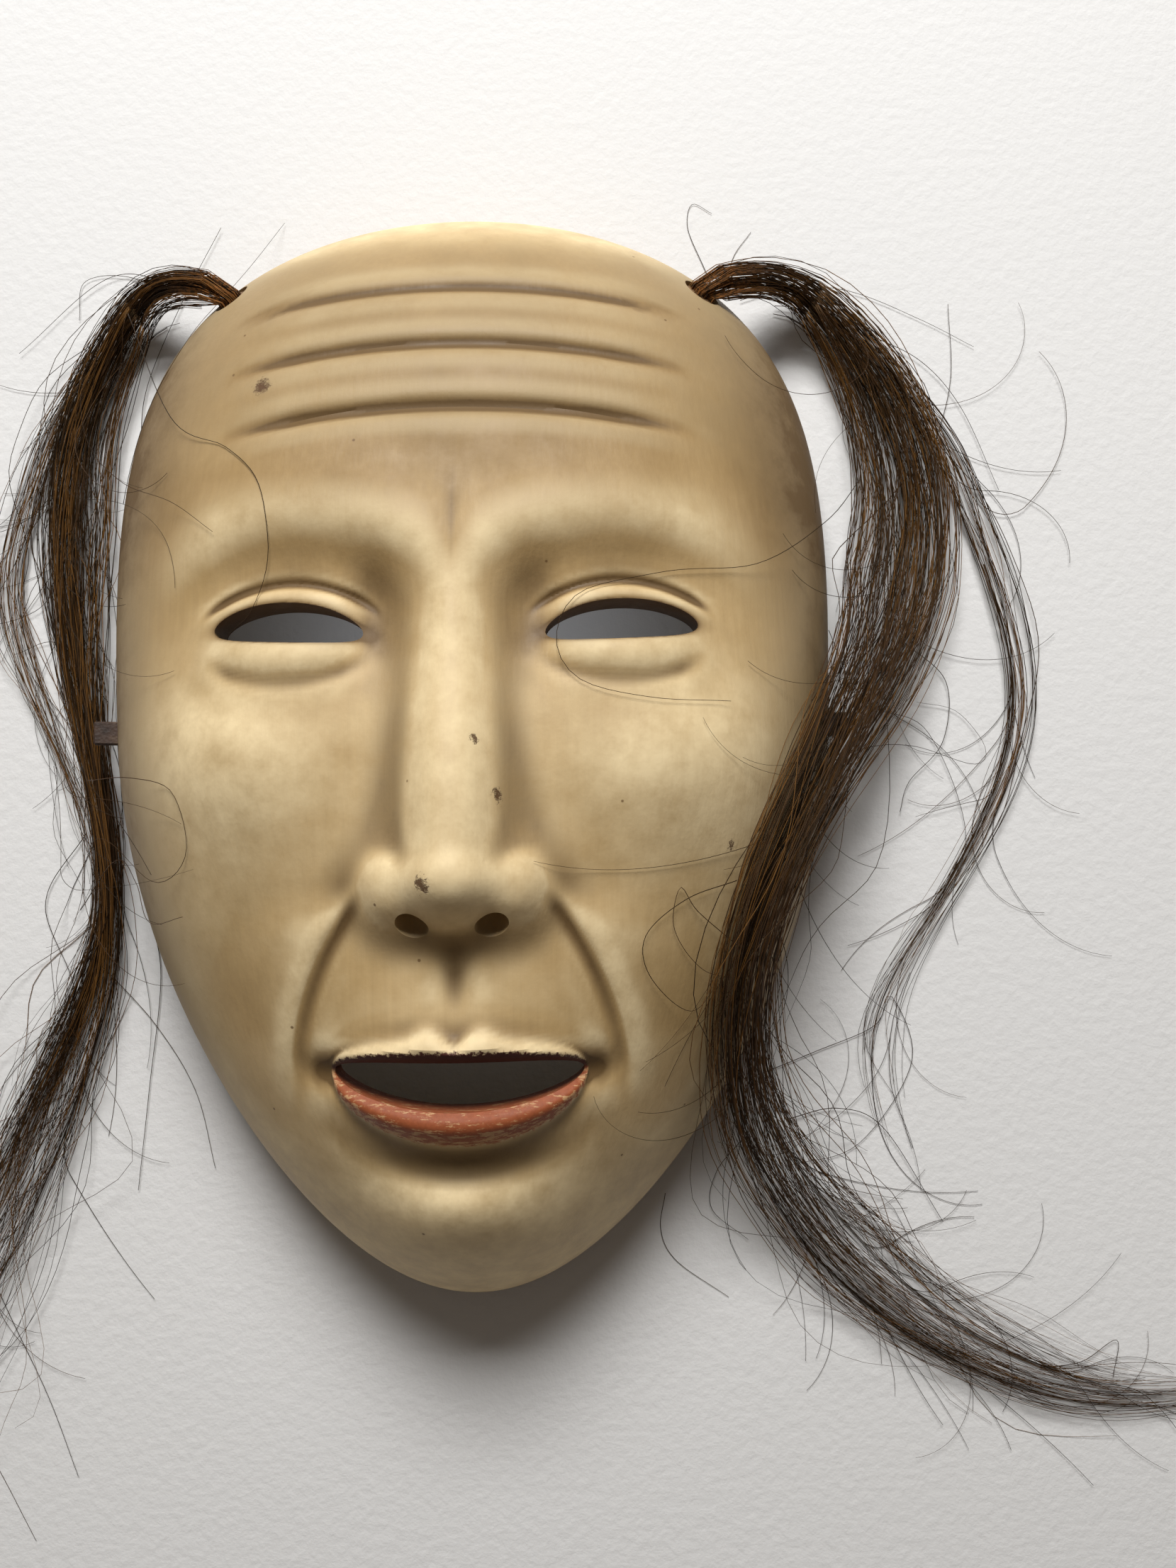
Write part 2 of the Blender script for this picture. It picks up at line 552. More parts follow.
def bare_cypress(name="bare cypress, planed", light="#B98F5A", dark="#94683B"):
    """Hinoki cypress, cut clean and left bare: straight fine grain, warm and matt."""
    made, tree, place, shader = new_material(name, 0.62)
    grain_space = add(tree, "Mapping", {"Vector": place, "Scale": scales(1.4, 45, 1.4)})
    grain = add(tree, "TexNoise", {"Vector": grain_space, "Scale": 1, "Detail": 4})
    colour = add(tree, "ValToRGB", {"Fac": grain}, stops=((0.3, dark), (0.7, light)))
    bumpy = add(tree, "Bump", {"Height": grain, "Strength": 0.3, "Distance": 0.1 * MM})
    connect(tree, shader, {"Base Color": colour, "Normal": bumpy})
    return made


def horsehair(name, dark, light):
    """Horse mane hair, washed and combed: dark, each hair glossy along its length with a brown tint in its
    shine, and browner at the roots, where glue and age have bleached it."""
    made, tree, place, shader = new_material(name, 0.48, Specular_IOR_Level=0.42,
                                             Specular_Tint=linear("#C9A878"))
    streak = add(tree, "TexNoise", {"Vector": place, "Scale": 1 / (14 * MM), "Detail": 3})
    strand = add(tree, "TexNoise", {"Vector": place, "Scale": 1 / (0.7 * MM), "Detail": 2})
    uneven = add(tree, "MapRange", {"Value": strand, "From Min": 0.42, "From Max": 0.58})
    colour = add(tree, "Mix", {0: streak, 6: dark, 7: light}, data_type="RGBA").outputs[2]
    for side in (-1, 1):
        far = add(tree, "VectorMath", {0: place, 1: swing_point(side)}, operation="DISTANCE")
        near = add(tree, "MapRange", {"Value": far.outputs["Value"], "From Min": 2 * MM, "From Max": 15 * MM,
                                      "To Min": 0.80, "To Max": 0})
        share = add(tree, "Math", {0: near, 1: uneven}, operation="MULTIPLY")
        colour = add(tree, "Mix", {0: share, 6: colour, 7: "#8E5A2C"}, data_type="RGBA").outputs[2]
    connect(tree, shader, {"Base Color": colour})
    return made


def tanned_leather():
    """Deerskin, smoke tanned red brown: matt, with a fine pebbled grain and paler scuffs."""
    made, tree, place, shader = new_material("smoke-tanned leather", 0.55)
    pebble = add(tree, "TexVoronoi", {"Vector": place, "Scale": 1 / (0.5 * MM)})
    cloud = add(tree, "TexNoise", {"Vector": place, "Scale": 1 / (2.5 * MM), "Detail": 4})
    colour = add(tree, "ValToRGB", {"Fac": cloud},
                 stops=((0.3, "#2E1F16"), (0.8, "#665039"), (0.55, "#463225")))
    bumpy = add(tree, "Bump", {"Height": pebble, "Strength": 0.35, "Distance": 0.12 * MM})
    connect(tree, shader, {"Base Color": colour, "Normal": bumpy})
    return made


def hemp_thread():
    """Waxed hemp thread: brown, matt, twisted finely across its length."""
    made, tree, place, shader = new_material("waxed hemp thread", 0.8)
    twist = add(tree, "TexNoise", {"Vector": place, "Scale": 1 / (0.6 * MM), "Detail": 3})
    colour = add(tree, "ValToRGB", {"Fac": twist}, stops=((0.3, "#4A3320"), (0.7, "#86653F")))
    bumpy = add(tree, "Bump", {"Height": twist, "Strength": 0.5, "Distance": 0.15 * MM})
    connect(tree, shader, {"Base Color": colour, "Normal": bumpy})
    return made


def pale_floor():
    """A plain pale floor with a fine even tooth, matt."""
    made, tree, place, shader = new_material("plain pale floor", 0.9)
    tooth = add(tree, "TexNoise", {"Vector": place, "Scale": 1 / (2.2 * MM), "Detail": 4, "Roughness": 0.6})
    bumpy = add(tree, "Bump", {"Height": tooth, "Strength": 0.45, "Distance": 0.5 * MM})
    connect(tree, shader, {"Base Color": "#E9E8E6", "Normal": bumpy})
    return made


# The shell ----------------------------------------------------------------------------------------


def make_shell():
    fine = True
    cells, cuts, back_cells = ((92, 134), 2, (84, 120)) if fine else ((60, 88), 1, (40, 56))
    detail = (0.80 * WIDTH / 2, 0.88 * HEIGHT / 2)
    shell = new_object("mask_face", dome_mesh(cells, cuts, detail, 0.0, relief, 0.0))
    hollow = dome_mesh(back_cells, 0, None, -SIDE_WALL, gouged_back_relief, -0.005)
    cutters = [new_object("cut_hollow", hollow)]
    top = DOME_RISE + 0.030
    for side in (-1, 1):
        eye = (side * FIFTH, EYE_MIDDLE_Y)
        cutters.append(lens_prism("cut_eye", EYE_HALF, eye, EYE_BOW, side * EYE_TILT, 0.02, top))
        inside = Vector((side * 0.26 * FIFTH, NOSE_Y + 0.0160, 0.0435)) + CENTRE
        outside = Vector((side * 0.21 * FIFTH, NOSE_Y - 0.0060, 0.0575)) + CENTRE
        cutters.append(rod("cut_nostril", inside, outside, NOSTRIL_RADIUS))
        for frame_of, radius in ((temple_frame, TEMPLE_RADIUS), (cord_frame, CORD_RADIUS)):
            mouth, outward = frame_of(side)
            cutters.append(rod("cut_hole", mouth - outward * 0.015, mouth + outward * 0.010, radius))
    cutters.append(lens_prism("cut_mouth", MOUTH_HALF, (0, MOUTH_Y), MOUTH_BOW, 0, 0.02, top))
    carve(shell, cutters)
    shade_shell(shell.data)
    shell.data.materials.clear()
    for material in (painted_gofun(), opening_wall(), lacquered_back(),
                     bare_cypress("rim cypress, stained", "#7C5A38", "#54381F")):
        shell.data.materials.append(material)
    shell.data.shade_smooth()
    shell.data.set_sharp_from_angle(angle=math.radians(30))
    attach(shell, "mask")
    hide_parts("mask_shell")


PAINT, STAIN, LACQUER, BARE = range(4)  # the shell's materials, in the order that make_shell lists them


def shade_shell(mesh):
    """Gives each face its finish, and each point what the paint needs to know about the carving there."""
    count = len(mesh.vertices)
    co = np.empty(count * 3)
    mesh.vertices.foreach_get("co", co)
    x, y, z = co.reshape(-1, 3).T
    x, y = x - CENTRE.x, y - CENTRE.y
    here = height_at(x, y)

    def curve(step):
        around = sum(height_at(x + dx * step, y + dy * step) for dx, dy in ((1, 0), (-1, 0), (0, 1), (0, -1)))
        return (around - 4 * here) / step**2

    # Past the rim there is no surface to curve, so what this measures close to it isn't carving.
    inland = ramp(here, 8 * MM, 22 * MM)
    sharp, broad = curve(1.1 * MM) * inland, curve(4.0 * MM) * inland
    grime = np.clip(sharp / 1500, 0, 0.50) + np.clip((broad - 20) / 380, 0, 0.35)
    rubbed = np.clip(-sharp / 700, 0, 0.5) + np.clip((-broad - 15) / 130, 0, 0.8)
    rubbed += 0.75 * bump(abs(x), y, 1.35 * FIFTH, EYE_Y - 0.36 * THIRD, 0.022, 0.024)
    rubbed += 0.90 * bump(x, y, 0, NOSE_Y + 0.30 * THIRD, 0.014, 0.032)
    rubbed += 1.00 * bump(x, y, 0, CHIN_Y + 0.24 * THIRD, 0.026, 0.014)
    forehead = ramp(y, BROW_Y - 0.010, BROW_Y + 0.012) * (1 - ramp(y, BROW_Y + 0.052, BROW_Y + 0.062))
    grime += 0.30 * forehead * (1 - 0.5 * ramp(abs(x), 0.030, 0.050))
    out = abs(x) / (HALF.x * fullness(np.clip(y / HALF.y, -1, 1)))
    at_side = ramp(np.hypot(out, y / HALF.y), 0.64, 0.97) * ramp(out, 0.20, 0.85)
    grime += 0.62 * at_side * ramp(y, -0.100, -0.010)
    near_eye = np.exp(-np.maximum(0, eye_reach(x, y) - 1) * EYE_HALF[1] / (0.6 * MM))
    corner = bump(abs(x), y, MOUTH_HALF[0] + 0.8 * MM, MOUTH_Y, 2.2 * MM, 1.8 * MM)
    grime += 0.45 * near_eye + 0.6 * corner + 0.40 * (1 - ramp(here, 0.5 * MM, 9 * MM))
    u, middle = mouth_line(x)
    from_edge = abs(y - middle) - MOUTH_HALF[1] * np.sqrt(u)
    reach = np.where(y > middle, 1.9 * MM, 5.9 * MM) * np.sqrt(u)
    lip = np.where(u > 0, (reach - from_edge) / MM, -3.0)
    row_scallop = (gouged_back_relief(x, y) - back_relief(x, y)) / (0.35 * MM)
    values = {
        "grime": np.clip(grime, 0, 1),
        "rubbed": np.clip(rubbed, 0, 1),
        "lip": lip,
        "upper_lip": ramp(y - middle, -0.5 * MM, 0.8 * MM),
        "crest": np.clip(-row_scallop * 1.6 - 0.7, 0, 1),
    }
    for name, value in values.items():
        attribute = mesh.attributes.new(name, "FLOAT", "POINT")
        attribute.data.foreach_set("value", value.astype(np.float32))
    depth = here - z
    inner = height_at(x, y, -SIDE_WALL, gouged_back_relief)
    for face in mesh.polygons:
        ids = list(face.vertices)
        if max(z[ids]) < 0.01 * MM:
            face.material_index = BARE
        elif max(depth[ids]) < 0.02 * MM and face.normal.z > -0.2:
            face.material_index = PAINT
        elif face.center.z < 5 * MM and face.normal.xy.dot((face.center - CENTRE).xy) > 0:
            face.material_index = PAINT
        elif max(abs(z[ids] - inner[ids])) < 0.6 * MM or face.center.z < 3 * MM:
            face.material_index = LACQUER
        else:
            face.material_index = STAIN


# Hair ---------------------------------------------------------------------------------------------


def swing_point(side):
    """Just outside a temple hole, where its tuft bends as it swings."""
    mouth, outward = temple_frame(side)
    return mouth + outward * SWING_OUT


def smooth_route(points, count):
    """Points spaced evenly on a Catmull-Rom curve through the given ones, and its length."""
    fine = []
    padded = [points[0] * 2 - points[1], *points, points[-1] * 2 - points[-2]]
    for p0, p1, p2, p3 in zip(padded, padded[1:], padded[2:], padded[3:]):
        for k in range(12):
            t = k / 12
            fine.append(0.5 * (2 * p1 + (p2 - p0) * t + (2 * p0 - 5 * p1 + 4 * p2 - p3) * t * t
                               + (3 * p1 - p0 - 3 * p2 + p3) * t**3))
    fine.append(points[-1])
    lengths = np.cumsum([0] + [(b - a).length for a, b in zip(fine, fine[1:])])
    at = np.linspace(0, lengths[-1], count)
    even = np.array([np.interp(at, lengths, [p[i] for p in fine]) for i in range(len(points[0]))])
    return even.T, lengths[-1]


def support_height(x, y, lift):
    """How high the middle of a thing of half thickness `lift` lies here, on the table or on the mask."""
    return np.maximum(height_at(x, y, lift + 0.1 * MM), lift)


def settled(rest, travelled):
    """Heights along a hair: held up by what is under it, and coming down no steeper than hair bends."""
    held = np.max(rest[None, :] - HAIR_SLOPE * abs(travelled[:, None] - travelled[None, :]), axis=1)
    for _ in range(6):
        held[1:-1] = (held[:-2] + 2 * held[1:-1] + held[2:]) / 4
        held = np.maximum(held, rest)
    return held


def lock_line(side, route, thickness, count):
    """The middle line of a lock that starts at its temple hole, and the directions off it."""
    points = [Vector((side * x * HALF.x, y * HALF.y)) for x, y in route]
    start = swing_point(side) - CENTRE
    flat, length = smooth_route([start.xy, start.xy.lerp(points[0], 0.5)] + points, count)
    for _ in range(8):
        flat[1:-1] = (flat[:-2] + 2 * flat[1:-1] + flat[2:]) / 4
    share = np.linspace(0, 1, count)
    half_thick = np.interp(share, *thickness)
    rest = np.array([float(support_height(x, y, h)) for (x, y), h in zip(flat, half_thick)])
    rest[0] = start.z
    line = np.column_stack([flat, settled(rest, share * length)])
    for _ in range(4):
        line[1:-1, 2] = (line[:-2, 2] + 2 * line[1:-1, 2] + line[2:, 2]) / 4
    ups = []
    for x, y, z in line:
        up = Vector((0, 0, 1))
        if height_at(x, y, 9 * MM) > 0.6 * z:
            pull = 1.0
            while pull > 0.5 and height_at(x * pull, y * pull) < 0.3 * DOME_RISE:
                pull -= 0.02
            up = up.lerp(surface_normal(x * pull, y * pull), 0.85)
        ups.append(up.normalized())
    for _ in range(24):
        ups = [sum(ups[max(0, k - 1):k + 2], Vector()).normalized() for k in range(count)]
    return line, np.array(ups), length


def wander(rng, count, cycles):
    """A smooth random track, mostly within -1 to 1, along a hair."""
    s = np.linspace(0, 2 * math.pi, count)
    track = np.zeros(count)
    for share in (0.5, 1.0, 1.9):
        track += rng.uniform(0.4, 1) * np.sin(s * cycles * share + rng.uniform(0, 7)) / share
    return track / 2.4


def hair_curve(name):
    made = bpy.data.curves.new(name, "CURVE")
    made.dimensions = "3D"
    made.bevel_mode = "ROUND"
    made.bevel_depth = 1.0
    made.bevel_resolution = 0
    made.use_fill_caps = True
    for material in HAIR_SHADES:
        made.materials.append(material)
    return made


def add_hair(curve, points, radii, shade):
    """One hair along the points, in the face's own frame."""
    points = points + np.array(CENTRE)
    spline = curve.splines.new("POLY")
    spline.points.add(len(points) - 1)
    spline.points.foreach_set("co", np.column_stack([points, np.ones(len(points))]).ravel())
    spline.points.foreach_set("radius", radii[:len(points)])
    spline.material_index = shade


def hair_piece(curve, name, body, nodes, bend=None):
    """The curve's hairs as one mesh, which swings with its tuft."""
    holder = linked(name, curve)
    graph = bpy.context.evaluated_depsgraph_get()
    mesh = bpy.data.meshes.new_from_object(holder.evaluated_get(graph))
    bpy.data.objects.remove(holder)
    bm = bmesh.new()
    bm.from_mesh(mesh)
    bmesh.ops.remove_doubles(bm, verts=bm.verts, dist=0.01 * MM)
    bm.to_mesh(mesh)
    bm.free()
    mesh.shade_smooth()
    piece = linked(name, mesh)
    if bend:
        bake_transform(piece)
    else:
        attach(piece, body)
    if nodes:
        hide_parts(*nodes)


def above_support(points, lift):
    floor = np.maximum(height_at(points[:, 0], points[:, 1], lift), lift)
    points[:, 2] = np.maximum(points[:, 2], floor)
    return points


def lock_frame(lock):
    """The lock's middle line, with the directions across it and off it, and its half width and half
    thickness."""
    line, ups, _ = lock_line(lock["side"], lock["route"], lock["thickness"], lock["count"])
    ahead = np.gradient(line, axis=0)
    ahead /= np.linalg.norm(ahead, axis=1)[:, None]
    across = np.cross(ahead, ups)
    across /= np.linalg.norm(across, axis=1)[:, None]
    share = np.linspace(0, 1, lock["count"])
    sizes = (np.interp(share, *lock[measure]) for measure in ("widths", "thickness"))
    return line, across, np.cross(across, ahead), *sizes


def make_lock(lock):
    """A lock as separate hairs. They lie in clumps, which drift across each other, and a few hairs leave
    their clump. Each starts in the temple hole."""
    rng = random.Random(lock["seed"])
    side, count = lock["side"], lock["count"]
    line, across, off, half_width, half_thick = lock_frame(lock)
    share = np.linspace(0, 1, count)
    free = np.clip(share * 12, 0, 1)
    root, curve = hair_curve(lock["name"] + "_root"), hair_curve(lock["name"])
    mouth, outward = temple_frame(side)
    mouth = mouth - CENTRE
    side_axis = outward.cross(Vector((0, 0, 1))).normalized()
    up_axis = side_axis.cross(outward)
    clumps = []
    for _ in range(lock["clumps"]):
        angle, far = rng.uniform(0, 2 * math.pi), 1.12 * rng.random() ** 0.65
        clumps.append((far * math.cos(angle), far * math.sin(angle), wander(rng, count, 2.2),
                       wander(rng, count, 2.2), rng.choices((0, 1, 2), (4, 3, 3))[0]))
    for _ in range(lock["hairs"]):
        a0, u0, sway, rise, shade = rng.choice(clumps)
        own = rng.choices((0.18, 0.80, 1.9), (0.94 - lock["loose"], lock["loose"], 0.06))[0]
        own = own * (0.7 + 0.9 * share)
        a_start, u_start = a0 + rng.gauss(0, 0.13), u0 + rng.gauss(0, 0.13)
        a = a_start + free * (0.42 * sway + own * wander(rng, count, 3.5) + 0.02 * wander(rng, count, 14))
        u = u_start + free * (0.30 * rise + 0.6 * own * wander(rng, count, 3.5))
        fan = np.clip((share - rng.uniform(0.5, 0.95)) / 0.35, 0, 1) ** 1.6
        fan = fan * rng.uniform(-1, 1) * lock["fan"]
        points = line + across * (half_width * (a + fan))[:, None] + off * (half_thick * u)[:, None]
        last = max(12, int(count * (1 - lock["short"] * rng.random() ** 2)))
        points = above_support(points[:last], rng.uniform(0.12, 0.6) * MM)
        butt = [mouth + outward * d + (side_axis * a_start + up_axis * u_start) * 2.2 * MM
                for d in (-3.2 * MM, -1.2 * MM, 0.5 * MM)]
        points = np.vstack([butt, points[1:]])
        if rng.random() < 0.25:
            shade = rng.choice((0, 1, 2))
        radii = rng.uniform(0.058, 0.092) * MM * (1 - 0.6 * np.linspace(0, 1, len(points)) ** 4)
        add_hair(root, points[:BEND_POINTS + 1], radii, shade)
        add_hair(curve, points[BEND_POINTS:], radii[BEND_POINTS:], shade)
    hair_piece(root, lock["name"] + "_root", lock["body"], [],
               (mouth + CENTRE, Vector(line[BEND_POINTS // 2 - 1]) + CENTRE))
    hair_piece(curve, lock["name"], lock["body"], [lock["node"]])


def over_axis(points, side):
    """How far a tuft's hair reaches past the axis it swings about, where it would swing down."""
    from_axis = points[:, :2] - (swing_point(side) - CENTRE).xy
    return float(np.max(from_axis @ (-SWING_AXIS[1] * side, SWING_AXIS[0])))


def make_frizz(name, body, locks, hairs, seed):
    """The hairs that have worked out of the locks and curl away from them over the table."""
    rng = random.Random(seed)
    curve = hair_curve(name)
    frames = [lock_frame(lock) for lock in locks]
    while hairs:
        pick = rng.choices(range(len(locks)), [lock["hairs"] for lock in locks])[0]
        line, across, _, half_width, _ = frames[pick]
        first = int(len(line) * rng.uniform(0.05, 0.86))
        along_it = rng.randint(4, 9)
        away = rng.choice((-1, 1))
        count = 34
        stretch = slice(first, first + along_it)
        run = line[stretch] + (across * half_width[:, None])[stretch] * away * 0.6
        ahead = line[min(first + along_it, len(line) - 1)] - line[first + along_it - 2]
        heading = math.atan2(ahead[1], ahead[0])
        turn = rng.gauss(0, 0.6) + away * rng.uniform(-0.6, 0.3)
        curl = rng.choice((-1, 1)) * rng.uniform(5, 75)
        reach = rng.uniform(16, 48) * MM / count
        place = run[-1].copy()
        tail = []
        for k in range(count):
            heading += turn / 9 * (k < 9) + curl * reach * (0.35 + k / count)
            place = place + np.array([math.cos(heading), math.sin(heading), 0]) * reach
            tail.append(place.copy())
        points = np.vstack([run, tail])
        lift = 2.5 * MM * np.sin(np.linspace(0, math.pi, len(points))) * rng.random()
        points[:, 2] += lift
        if over_axis(points, locks[pick]["side"]) > MOST_PAST_AXIS or points[:, 1].min() < LOWEST_HAIR:
            continue
        hairs -= 1
        radii = rng.uniform(0.055, 0.085) * MM * np.linspace(1, 0.5, len(points))
        add_hair(curve, drop_onto(points, rng), radii, rng.choice((0, 0, 1)))
    for route in STRAYS[body]:
        flat, _ = smooth_route([Vector(p) * MM for p in route], 46)
        points = np.column_stack([flat, np.zeros(len(flat))])
        radii = rng.uniform(0.065, 0.085) * MM * np.linspace(1, 0.6, len(points))
        add_hair(curve, drop_onto(points, rng), radii, rng.choice((0, 0, 1)))
    hair_piece(curve, name, body, [])


def drop_onto(points, rng):
    """Lets a stray hair down onto what is under it. It comes off the mask no steeper than a hair bends."""
    lift = rng.uniform(0.2, 1.6) * MM
    under = np.array([float(support_height(x, y, 0.1 * MM)) for x, y, _ in points]) + lift * 0.5
    travelled = np.cumsum([0] + list(np.linalg.norm(np.diff(points[:, :2], axis=0), axis=1)))
    points = points.copy()
    points[:, 2] = np.maximum(settled(under, travelled), under)
    return points


# Routes are in half widths and half heights from the face's middle, and half widths and half thicknesses
# at shares of a lock's length, in millimetres.
RIGHT = {
    "name": "tuft_right_hair", "node": "tuft_right_main", "body": "tuft_right", "side": 1, "seed": 11,
    "hairs": 190, "clumps": 30, "loose": 0.22, "count": 76, "fan": 1.6, "short": 0.45,
    "route": [(0.91, 0.89), (1.065, 0.80), (1.20, 0.653), (1.263, 0.477), (1.24, 0.33), (1.153, 0.17),
              (1.0, 0.01), (0.867, -0.137), (0.757, -0.284), (0.70, -0.416), (0.70, -0.532),
              (0.736, -0.665), (0.846, -0.81), (1.0, -0.943), (1.197, -1.06), (1.37, -1.133),
              (1.57, -1.19), (1.79, -1.22), (2.08, -1.205)],
    "widths": ([0, 0.06, 0.16, 0.28, 0.42, 0.60, 0.74, 0.88, 1],
               [3.0, 3.6, 6.4, 8.6, 6.8, 5.4, 7.2, 4.4, 1.4]),
    "thickness": ([0, 0.06, 0.30, 0.60, 0.85, 1], [2.6, 2.8, 3.2, 2.8, 2.0, 0.7]),
}
RIGHT_OUTER = {
    "name": "tuft_right_outer_hair", "node": "tuft_right_outer", "body": "tuft_right", "side": 1, "seed": 12,
    "hairs": 30, "clumps": 6, "loose": 0.2, "count": 66, "fan": 1.2, "short": 0.3,
    "route": [(0.91, 0.89), (1.08, 0.82), (1.22, 0.715), (1.34, 0.625), (1.42, 0.53), (1.475, 0.40),
              (1.545, 0.25), (1.58, 0.096), (1.535, -0.05), (1.439, -0.182), (1.307, -0.328),
              (1.197, -0.445), (1.131, -0.548), (1.143, -0.667), (1.20, -0.80)],
    "widths": ([0, 0.1, 0.3, 0.45, 0.75, 0.88, 1], [2.6, 2.4, 2.6, 2.4, 1.4, 2.8, 2.2]),
    "thickness": ([0, 0.1, 0.8, 1], [2.2, 1.8, 1.3, 0.8]),
}
LEFT = {
    "name": "tuft_left_hair", "node": "tuft_left_main", "body": "tuft_left", "side": -1, "seed": 13,
    "hairs": 185, "clumps": 22, "loose": 0.22, "count": 66, "fan": 1.4, "short": 0.40,
    "route": [(0.90, 0.885), (1.0, 0.825), (1.087, 0.73), (1.153, 0.594), (1.17, 0.419), (1.16, 0.243),
              (1.13, 0.096), (1.09, -0.021), (1.055, -0.15), (1.045, -0.27), (1.06, -0.387),
              (1.12, -0.504), (1.219, -0.665), (1.33, -0.84), (1.49, -1.03), (1.61, -1.16), (1.69, -1.26)],
    "widths": ([0, 0.06, 0.16, 0.28, 0.45, 0.58, 0.74, 0.90, 1],
               [3.0, 3.4, 4.6, 6.4, 5.0, 3.4, 7.6, 9.0, 6.0]),
    "thickness": ([0, 0.06, 0.30, 0.60, 0.85, 1], [2.6, 2.6, 2.8, 2.4, 2.0, 0.8]),
}
LEFT_OUTER = {
    "name": "tuft_left_outer_hair", "node": "tuft_left_outer", "body": "tuft_left", "side": -1, "seed": 14,
    "hairs": 34, "clumps": 7, "loose": 0.2, "count": 56, "fan": 0.8, "short": 0.2,
    "route": [(0.90, 0.885), (1.01, 0.84), (1.13, 0.75), (1.225, 0.65), (1.275, 0.56), (1.32, 0.46),
              (1.36, 0.36), (1.355, 0.26), (1.31, 0.16), (1.24, 0.05), (1.16, -0.06), (1.10, -0.17),
              (1.07, -0.30)],
    "widths": ([0, 0.15, 0.4, 0.7, 1], [2.4, 2.2, 2.6, 2.6, 1.4]),
    "thickness": ([0, 0.15, 0.7, 1], [2.0, 1.6, 1.5, 1.0]),
}
# Single hairs that stand out, in millimetres from the face's middle.
STRAYS = {
    "mask": (
        ((-68, 60), (-67, 74), (-60, 92), (-52, 108)),
        ((-66, 46), (-61, 62), (-54, 75), (-45, 94), (-39, 109)),
        ((50, 92), (47, 99), (44, 107), (45, 112), (49, 110)), ((52, 92), (53, 100), (57, 106)),
    ),
    "tuft_left": (
        ((-60, 93), (-71, 98), (-80, 97), (-81, 89)), ((-57, 94), (-74, 98), (-93, 82)),
        ((-66, 84), (-52, 57), (-40, 49), (-33, 41), (-31, 30), (-34, 19), (-38, 15)),
        ((-68, 52), (-60, 45), (-50, 40), (-41, 33)),
        ((-66, -8), (-57, -8), (-48, -11), (-46, -21), (-53, -26), (-66, -18), (-72, -30)),
        ((-73, -31), (-64, -22), (-59, -26), (-55, -33), (-48, -32)),
        ((-66, -30), (-63, -44), (-65, -66), (-67, -86)), ((-75, -42), (-64, -54), (-56, -67), (-52, -82)),
        ((-74, 10), (-84, 22), (-93, 20)), ((-78, -16), (-86, -30), (-80, -48), (-88, -60)),
        ((-102, -88), (-92, -109), (-84, -125), (-78, -140)), ((-106, -120), (-95, -136), (-86, -152)),
    ),
    "tuft_right": (
        ((62, 95), (77, 93), (91, 87), (102, 81)), ((80, 84), (91, 78), (99, 68), (106, 51)),
        ((88, 48), (93, 60), (97, 74), (97, 90)),
        ((74, 48), (66, 38), (52, 28), (35, 25), (21, 21), (17, 13), (21, 6), (33, 3), (46, 3)),
        ((47, -27), (38, -30), (31, -36), (32, -43), (39, -49), (45, -43)),
        ((47, -38), (40, -32), (37, -28), (36, -35), (41, -42), (48, -44)),
        ((62, -8), (73, -3), (84, -2), (98, -5), (101, -1), (96, 6), (88, 8)),
        ((53, -66), (66, -61), (78, -56), (81, -50), (85, -63), (74, -79), (60, -83)),
        ((60, -74), (70, -72), (79, -76), (90, -94)), ((51, -78), (46, -84), (45, -91), (52, -97)),
        ((36, -88), (35, -95), (38, -101), (48, -108)), ((108, -122), (116, -121), (123, -117), (122, -124)),
        ((86, 20), (94, 12), (93, 0), (86, -8), (84, -14)),
        ((70, 22), (78, 8), (90, 2), (97, -20), (88, -36)),
    ),
}


LOCKS = (RIGHT, RIGHT_OUTER, LEFT, LEFT_OUTER)
for lock_ in LOCKS:
    for measure in ("widths", "thickness"):
        shares, sizes = lock_[measure]
        lock_[measure] = (shares, [size * MM for size in sizes])


# The setting --------------------------------------------------------------------------------------


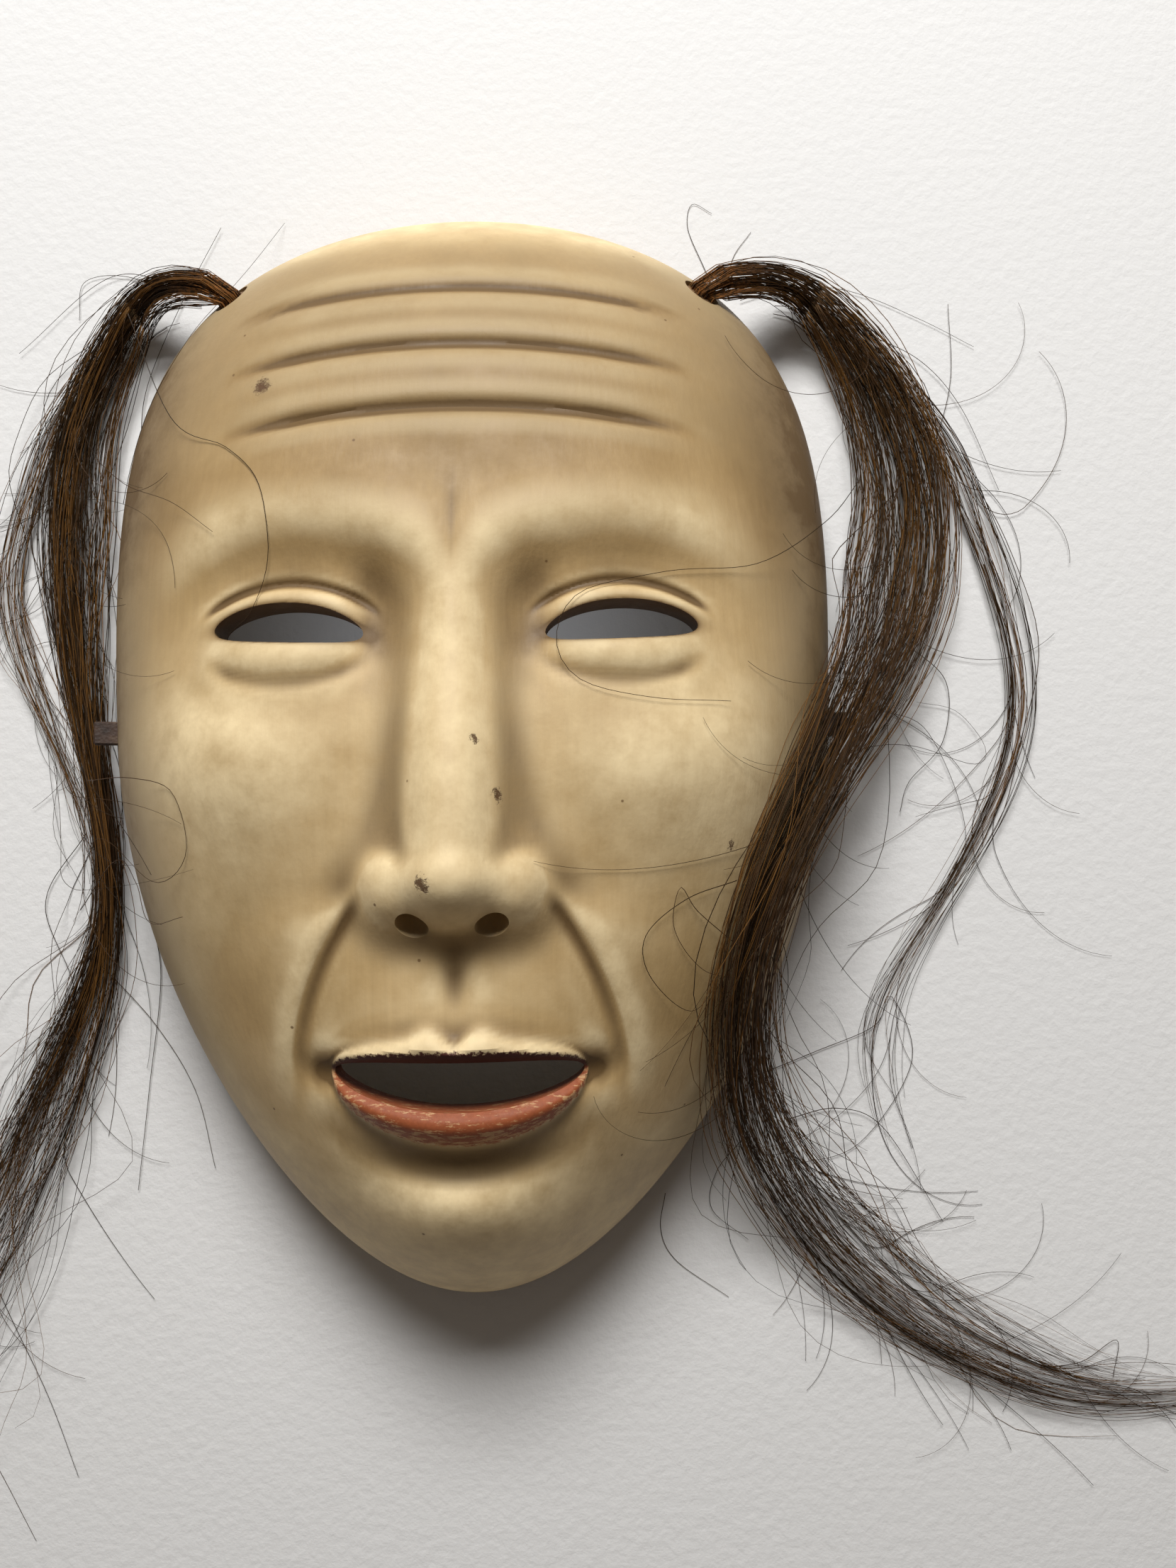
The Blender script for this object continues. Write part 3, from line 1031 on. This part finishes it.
def make_setting():
    bm = bmesh.new()
    bmesh.ops.create_grid(bm, x_segments=1, y_segments=1, size=3)
    floor = new_object("floor", bm)
    floor.data.materials.append(pale_floor())

    def lamp(name, at, aim, width, depth, power, colour):
        data = bpy.data.lights.new(name, "AREA")
        data.shape = "RECTANGLE"
        data.size, data.size_y = width, depth
        data.spread = math.radians(150)
        data.energy = power
        data.color = linear(colour)[:3]
        lit = linked(name, data)
        lit.location = at
        lit.rotation_euler = (Vector(aim) - Vector(at)).to_track_quat("-Z", "Y").to_euler()

    lamp("window", (-0.03, 0.75, 0.67), (0, 0.10, 0), 0.48, 0.34, 7.4, "#FCFCFC")
    # The rim lets some light in under the mask, so what shows through its eyes isn't black.
    lamp("light_inside", (0, 0.110, 0.030), (0, 0.110, 0), 0.06, 0.08, 0.0045, "#EAF0FA")
    world = bpy.data.worlds.new("room")
    bpy.context.scene.world = world
    world.use_nodes = True
    tree = world.node_tree
    up = add(tree, "SeparateXYZ", {0: add(tree, "TexCoord").outputs["Generated"]})
    glow = add(tree, "MapRange", {"Value": up.outputs["Z"], "From Max": 0.5, "To Min": 0.24, "To Max": 0.09})
    connect(tree, tree.nodes["Background"], {"Color": "#EFE0D2", "Strength": glow})
    bpy.context.scene.view_settings.view_transform = "Standard"

    data = bpy.data.cameras.new("camera")
    data.sensor_fit = "VERTICAL"
    data.sensor_height = 36
    data.lens = 30
    camera = linked("camera", data)
    bpy.context.scene.camera = camera
    aim = Vector((0.0217, 0.0935, 0.010))
    distance, tilt, roll = 0.2515, math.radians(4), math.radians(-0.76)
    camera.rotation_euler = (tilt, 0, roll)
    camera.location = aim + Vector((0, -math.sin(tilt), math.cos(tilt))) * distance
    data.clip_start = 0.01


HAIR_SHADES = [
    horsehair("horsehair, near black", "#1B130D", "#332315"),
    horsehair("horsehair, dark brown", "#302014", "#4C3521"),
    horsehair("horsehair, chestnut", "#4A3019", "#80592B"),
]

make_shell()
for hair_lock in LOCKS:
    make_lock(hair_lock)
make_frizz("tuft_right_frizz", "tuft_right", (RIGHT, RIGHT_OUTER), 120, 21)
make_frizz("tuft_left_frizz", "tuft_left", (LEFT, LEFT_OUTER), 75, 22)
make_frizz("fallen_hairs", "mask", (), 0, 23)
for node_name, finish in (("hair_root", hemp_thread()), ("peg", bare_cypress()), ("lace", tanned_leather())):
    for word in ("left", "right"):
        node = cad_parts[f"{node_name}_{word}"]
        node.data.materials.clear()
        node.data.materials.append(finish)
make_setting()
